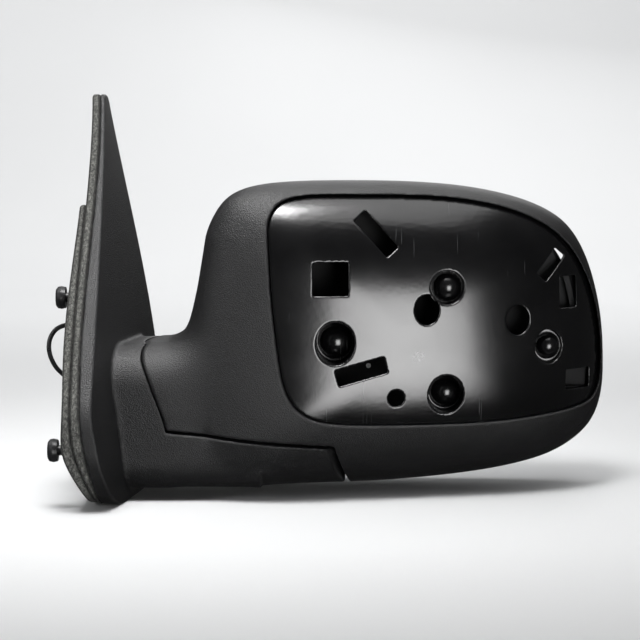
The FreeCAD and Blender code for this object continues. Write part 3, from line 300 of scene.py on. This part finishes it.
class Shader:
    """A material built from nodes. Its patterns lie in the piece's own coordinates, in metres."""

    def __init__(self, name, roughness, **values):
        self.material = bpy.data.materials.new(name)
        self.material.use_nodes = True
        self.tree = self.material.node_tree
        self.surface = self.tree.nodes["Principled BSDF"]
        self.set("Roughness", roughness)
        for key, value in values.items():
            self.set(key.replace("_", " "), value)
        self.place = self.node("ShaderNodeTexCoord").outputs["Object"]

    def set(self, name, value):
        self.surface.inputs[name].default_value = value

    def node(self, kind, **settings):
        made = self.tree.nodes.new(kind)
        for key, value in settings.items():
            setattr(made, key, value)
        return made

    def link(self, source, target):
        self.tree.links.new(source, target)

    def noise(self, scale, detail=3.0, rough=0.5, place=None, distortion=0.0):
        made = self.node("ShaderNodeTexNoise")
        made.inputs["Scale"].default_value = scale
        made.inputs["Detail"].default_value = detail
        made.inputs["Roughness"].default_value = rough
        made.inputs["Distortion"].default_value = distortion
        self.link(place or self.place, made.inputs["Vector"])
        return made.outputs["Fac"]

    def cells(self, scale):
        made = self.node("ShaderNodeTexVoronoi")
        made.inputs["Scale"].default_value = scale
        self.link(self.place, made.inputs["Vector"])
        return made.outputs["Distance"]

    def stretched(self, scale, turn=0.0):
        """The place scaled along each axis, after a turn about Y."""
        made = self.node("ShaderNodeMapping")
        made.inputs["Rotation"].default_value = (0, turn, 0)
        made.inputs["Scale"].default_value = scale
        self.link(self.place, made.inputs["Vector"])
        return made.outputs["Vector"]

    def ramp(self, source, stops):
        """Values or colours at positions, read from a 0 to 1 source."""
        made = self.node("ShaderNodeValToRGB")
        elements = made.color_ramp.elements
        while len(elements) < len(stops):
            elements.new(0.5)
        for element, (position, colour) in zip(elements, stops):
            element.position = position
            colour = (colour,) * 3 if isinstance(colour, (int, float)) else colour
            element.color = (*colour, 1.0)
        self.link(source, made.inputs["Fac"])
        return made.outputs["Color"]

    def range(self, source, low, high, to_low, to_high):
        made = self.node("ShaderNodeMapRange", clamp=True)
        for key, value in (("From Min", low), ("From Max", high), ("To Min", to_low), ("To Max", to_high)):
            made.inputs[key].default_value = value
        self.link(source, made.inputs["Value"])
        return made.outputs["Result"]

    def attribute(self, name):
        return self.node("ShaderNodeAttribute", attribute_name=name).outputs["Fac"]

    def mix(self, share, first, second, blend="MIX"):
        made = self.node("ShaderNodeMix", data_type="RGBA", blend_type=blend)
        for value, index in ((share, MIX_SHARE), (first, MIX_FIRST), (second, MIX_SECOND)):
            if isinstance(value, (int, float)):
                made.inputs[index].default_value = value
            elif isinstance(value, tuple):
                made.inputs[index].default_value = (*value, 1)
            else:
                self.link(value, made.inputs[index])
        return made.outputs[MIX_RESULT]

    def math(self, operation, first, second):
        made = self.node("ShaderNodeMath", operation=operation)
        self.link(first, made.inputs[0])
        self.link(second, made.inputs[1])
        return made.outputs[0]

    def colour(self, source):
        self.link(source, self.surface.inputs["Base Color"])

    def roughness(self, source):
        self.link(source, self.surface.inputs["Roughness"])

    def bump(self, height, distance, strength=1.0, over=None):
        """Raise the surface by a height map, distance in millimetres, over another bump."""
        made = self.node("ShaderNodeBump")
        made.inputs["Strength"].default_value = strength
        made.inputs["Distance"].default_value = distance * MM
        self.link(height, made.inputs["Height"])
        if over:
            self.link(over, made.inputs["Normal"])
        self.link(made.outputs["Normal"], self.surface.inputs["Normal"])
        return made.outputs["Normal"]


def textured_black():
    """Fine-grained moulded plastic, with a painted highlight along its outer edges and pale specks on the grain
    painted as glints.
    """
    made = Shader("textured_black_plastic", 0.5, Specular_IOR_Level=0.5)
    grain = made.noise(1700, 2.0, 0.6)
    pebble = made.cells(1050)
    dust = made.noise(9, 4.0, 0.6)
    body = made.ramp(dust, [(0.3, (0.0065, 0.0065, 0.007)), (0.7, (0.0105, 0.0105, 0.011))])
    # Painted highlight: the colour turns paler towards the outer edges.
    edge = made.range(made.attribute("edge_distance"), 0.0, 1.6, 0.55, 0.0)
    body_with_painted_highlight = made.mix(edge, body, (0.032, 0.032, 0.033))
    # Painted glints: pale specks added on the grain's peaks.
    painted_glints = made.ramp(grain, [(0.55, 0.0), (0.72, 0.035)])
    made.colour(made.mix(1.0, body_with_painted_highlight, painted_glints, "ADD"))
    made.roughness(made.range(grain, 0.3, 0.7, 0.34, 0.50))
    first = made.bump(pebble, 0.24)
    made.bump(grain, 0.30, over=first)
    return made.material


# Where the panel's moulding gate was cut off, in metres, and how far its mark reaches, in millimetres.
GATE_MARK = (0.2592, 0, 0.0455)
GATE_REACH = (3.0, 5.5)
SCRATCH_TURN = math.radians(38)


def smooth_black():
    """Polished tool face: satin gloss, slight sinks, hairline scratches from handling, and a painted highlight
    along its outer edges.
    """
    made = Shader("smooth_black_plastic", 0.26, Specular_IOR_Level=0.62, Coat_Weight=0.2, Coat_Roughness=0.14)
    haze = made.noise(22, 4.0, 0.55)
    fine = made.noise(1900, 2.0, 0.5)
    streaks = made.noise(1.0, 1.0, 0.5, made.stretched((900, 8, 16), SCRATCH_TURN))
    scratch = made.ramp(streaks, [(0.735, 0.0), (0.75, 1.0)])
    patches = made.ramp(made.noise(14, 2.0, 0.5), [(0.52, 0.0), (0.6, 1.0)])
    marks = made.math("MULTIPLY", scratch, patches)
    gate = made.node("ShaderNodeVectorMath", operation="DISTANCE")
    made.link(made.stretched((1, 0, 1)), gate.inputs[0])
    gate.inputs[1].default_value = GATE_MARK
    spot = made.range(gate.outputs["Value"], GATE_REACH[0] * MM, GATE_REACH[1] * MM, 1.0, 0.0)
    speckle = made.ramp(made.noise(420, 3.0, 0.6), [(0.45, 0.0), (0.6, 1.0)])
    marks = made.math("MAXIMUM", marks, made.math("MULTIPLY", spot, speckle))
    base = made.ramp(haze, [(0.3, (0.0022, 0.0022, 0.0025)), (0.7, (0.0040, 0.0040, 0.0043))])
    # Painted highlight: the colour turns paler towards the outer edges.
    edge = made.range(made.attribute("edge_distance"), 0.0, 0.9, 0.5, 0.0)
    base = made.mix(edge, base, (0.02, 0.02, 0.021))
    made.colour(made.mix(marks, base, (0.075, 0.075, 0.078)))
    made.roughness(made.range(haze, 0.3, 0.7, 0.20, 0.26))
    waves = made.bump(made.noise(17, 1.0, 0.4), 0.35, 0.2)
    made.bump(fine, 0.008, 0.5, waves)
    return made.material


def foam():
    """Closed-cell foam: grey flecks on charcoal, darker along its cut edges."""
    made = Shader("gasket_foam", 0.9, Specular_IOR_Level=0.25)
    flecks = made.noise(620, 5.0, 0.75, made.stretched((1.0, 1.0, 0.55)), 0.4)
    cells = made.cells(1500)
    greys = [(0.36, (0.022, 0.022, 0.021)), (0.5, (0.075, 0.075, 0.07)), (0.66, (0.20, 0.20, 0.185))]
    body = made.ramp(flecks, greys)
    edge = made.range(made.attribute("edge_distance"), 0.3, 2.2, 0.85, 0.0)
    made.colour(made.mix(edge, body, (0.012, 0.012, 0.012)))
    first = made.bump(flecks, 0.35, 0.8)
    made.bump(cells, 0.15, 0.5, first)
    return made.material


def plain_plastic(name, dark, light, roughness=(0.38, 0.5), grain=900, relief=0.03, **values):
    """Moulded plastic with slight colour drift and a fine tool texture."""
    made = Shader(name, roughness[0], **values)
    drift = made.noise(45, 3.0, 0.55)
    texture = made.noise(grain, 2.0, 0.5)
    made.colour(made.ramp(drift, [(0.3, dark), (0.7, light)]))
    made.roughness(made.range(drift, 0.3, 0.7, *roughness))
    made.bump(texture, relief, 0.6)
    return made.material


def metal(name, dark, light, roughness, grain, relief):
    """Bare or plated metal with its surface's own grain."""
    made = Shader(name, roughness[0], Metallic=1.0)
    texture = made.noise(grain, 4.0, 0.6)
    drift = made.noise(60, 3.0, 0.55)
    made.colour(made.ramp(drift, [(0.3, dark), (0.7, light)]))
    made.roughness(made.range(texture, 0.3, 0.7, *roughness))
    made.bump(texture, relief, 0.5)
    return made.material


def mirror_face():
    """Silvered glass with a trace of haze."""
    made = Shader("mirror_silver", 0.02, Metallic=1.0)
    haze = made.noise(30, 3.0, 0.6)
    made.colour(made.ramp(haze, [(0.3, (0.83, 0.86, 0.88)), (0.7, (0.86, 0.885, 0.90))]))
    made.roughness(made.range(haze, 0.4, 0.8, 0.012, 0.03))
    return made.material


def cord_black():
    """Glossy sleeving wound with tape, whose turns show as fine ridges."""
    made = Shader("harness_sleeve", 0.3, Specular_IOR_Level=0.55)
    drift = made.noise(120, 3.0, 0.55)
    wraps = made.node("ShaderNodeTexWave", wave_type="BANDS", bands_direction="DIAGONAL")
    wraps.inputs["Scale"].default_value = 95.0
    wraps.inputs["Distortion"].default_value = 1.5
    made.link(made.place, wraps.inputs["Vector"])
    made.colour(made.ramp(drift, [(0.3, (0.010, 0.010, 0.011)), (0.7, (0.020, 0.020, 0.021))]))
    made.roughness(made.range(drift, 0.3, 0.7, 0.24, 0.36))
    made.bump(wraps.outputs["Fac"], 0.12, 0.35)
    return made.material


# The material of each slot. A metal or plain plastic takes a dark and a light colour, then its roughness range,
# the grain's scale and the grain's relief in millimetres.
MATERIALS = {
    "textured_black": textured_black(),
    "smooth_black": smooth_black(),
    "foam": foam(),
    "cast_metal": metal("cast_alloy", (0.38, 0.39, 0.40), (0.52, 0.53, 0.54), (0.38, 0.6), 500, 0.08),
    "peg_black": plain_plastic(
        "peg_coating", (0.010, 0.010, 0.011), (0.022, 0.022, 0.023), (0.26, 0.4), 1400, 0.02
    ),
    "steel": metal("zinc_plate", (0.42, 0.43, 0.44), (0.6, 0.61, 0.62), (0.25, 0.42), 1500, 0.01),
    "spring_steel": metal("oiled_spring", (0.10, 0.10, 0.105), (0.2, 0.2, 0.205), (0.25, 0.4), 1200, 0.01),
    "grey_nylon": plain_plastic(
        "grey_nylon", (0.010, 0.010, 0.0105), (0.016, 0.016, 0.017), (0.5, 0.62), Specular_IOR_Level=0.2
    ),
    "black_nylon": plain_plastic(
        "black_nylon", (0.004, 0.004, 0.004), (0.008, 0.008, 0.008), (0.5, 0.6), Specular_IOR_Level=0.25
    ),
    "white_acetal": plain_plastic("white_acetal", (0.68, 0.67, 0.62), (0.76, 0.75, 0.71), (0.3, 0.42)),
    "mirror_face": mirror_face(),
    "heater_film": plain_plastic(
        "heater_film", (0.50, 0.22, 0.06), (0.62, 0.30, 0.09), (0.25, 0.35), 400, 0.02
    ),
    "cord_black": cord_black(),
    "grommet_rubber": plain_plastic(
        "grommet_rubber", (0.016, 0.016, 0.016), (0.026, 0.026, 0.026), (0.55, 0.7)
    ),
    "tie_white": plain_plastic("tie_nylon", (0.62, 0.62, 0.58), (0.74, 0.74, 0.70), (0.35, 0.5)),
    "plug_grey": plain_plastic("plug_housing", (0.045, 0.045, 0.048), (0.065, 0.065, 0.07)),
}

harness.data.materials.append(MATERIALS["cord_black"])
for node_name, slot_name in SLOT_OF.items():
    mesh = nodes[node_name].data
    mesh.materials.clear()
    mesh.materials.append(MATERIALS[slot_name])

# ---------------------------------------------------------------- replaced nodes

# Where the arm runs into the head, and where it leaves the sail.
NECK_BLEND = Blend(low=(66, -70, -80), high=(142, 16, 136), fade=14, radius=15)
SAIL_BLEND = Blend(low=(14, -66, -80), high=(62, 66, 76), fade=6, radius=5)
# node, piece, voxel and edge radius in millimetres, blends
MOULDINGS = [
    ("housing_shell", "head_shell", 1.0, 1.1, [NECK_BLEND]),
    ("base_cover", "sail_and_arm", 1.0, 1.1, [NECK_BLEND, SAIL_BLEND]),
    ("front_panel", "cap_carrier", 0.75, 0.75, []),
    ("gasket_inner", "inner_foam_strip", 0.9, 1.3, []),
    ("gasket_outer", "outer_foam_strip", 0.9, 1.3, []),
]
for source_name, piece_name, voxel_mm, edge_mm, blends in MOULDINGS:
    slot_name = SLOT_OF[source_name]
    piece = moulded(source_name, piece_name, voxel_mm, edge_mm, MATERIALS[slot_name], blends)
    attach(piece, BODY_OF[source_name])
    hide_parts(source_name)

# ---------------------------------------------------------------- floor and light

# The table runs from its front edge to a bend of a quarter turn, and the wall rises from there.
TABLE_FRONT = -0.62
BEND_START = 1.6
BEND_RADIUS = 0.9
BEND_STEPS = 12
WALL_TOP = 4.5
BACKDROP_SIDES = (-4.0, 4.5)
AMBIENT = 0.035


def sweep_backdrop():
    """A pale table that curves up into a wall behind the object."""
    profile = [(TABLE_FRONT, 0.0), (BEND_START, 0.0)]
    for step in range(1, BEND_STEPS + 1):
        angle = step * math.pi / (2 * BEND_STEPS)
        forward, upward = BEND_RADIUS * math.sin(angle), BEND_RADIUS - BEND_RADIUS * math.cos(angle)
        profile.append((BEND_START + forward, upward))
    profile.append((BEND_START + BEND_RADIUS, WALL_TOP))
    verts = [(x, y, FLOOR_Z + z) for y, z in profile for x in BACKDROP_SIDES]
    faces = [(2 * i, 2 * i + 1, 2 * i + 3, 2 * i + 2) for i in range(len(profile) - 1)]
    mesh = bpy.data.meshes.new("backdrop")
    mesh.from_pydata(verts, [], faces)
    for face in mesh.polygons:
        face.use_smooth = True
    made = Shader("backdrop_paper", 0.85, Specular_IOR_Level=0.2)
    paper = [(0.3, (0.62, 0.625, 0.63)), (0.7, (0.64, 0.645, 0.65))]
    made.colour(made.ramp(made.noise(2.0, 2.0, 0.5), paper))
    mesh.materials.append(made.material)
    return linked(bpy.data.objects.new("backdrop", mesh))


backdrop = sweep_backdrop()
backdrop.visible_glossy = False


def softbox(name, place, target, width, height, watts, spread):
    data = bpy.data.lights.new(name, "AREA")
    data.shape = "RECTANGLE"
    data.size = width
    data.size_y = height
    data.energy = watts
    data.spread = math.radians(spread)
    light = linked(bpy.data.objects.new(name, data))
    light.location = place
    light.rotation_euler = (Vector(target) - Vector(place)).to_track_quat("-Z", "Y").to_euler()


# name, place, target, width, height, watts, spread in degrees
LIGHTS = [
    ("top_box", (0.25, 0.10, 1.5), (0.2, 0.1, 0), 2.0, 1.5, 18, 180),
    ("shoulder_strip", (0.0, -0.26, 1.05), (0.08, -0.02, 0.03), 0.6, 0.30, 1.9, 60),
    ("back_wash", (-0.35, 1.2, 1.9), (-0.35, 2.6, 0.7), 4.8, 0.8, 62, 180),
    ("front_box", (0.70, -1.28, -0.17), (0.23, -0.05, 0.05), 0.66, 0.86, 2.6, 70),
    ("left_box", (-1.00, -0.85, 0.40), (0.1, 0, 0.05), 0.20, 0.9, 5, 180),
    ("rear_card", (0.55, 2.1, 1.0), (0.26, 0.06, 0.06), 1.2, 1.0, 7, 180),
]
for light in LIGHTS:
    softbox(*light)

world = bpy.data.worlds.new("studio")
world.use_nodes = True
background = world.node_tree.nodes["Background"]
background.inputs["Color"].default_value = (1, 1, 1, 1)
background.inputs["Strength"].default_value = AMBIENT
scene.world = world
scene.view_settings.view_transform = "Standard"

bpy.context.view_layer.update()
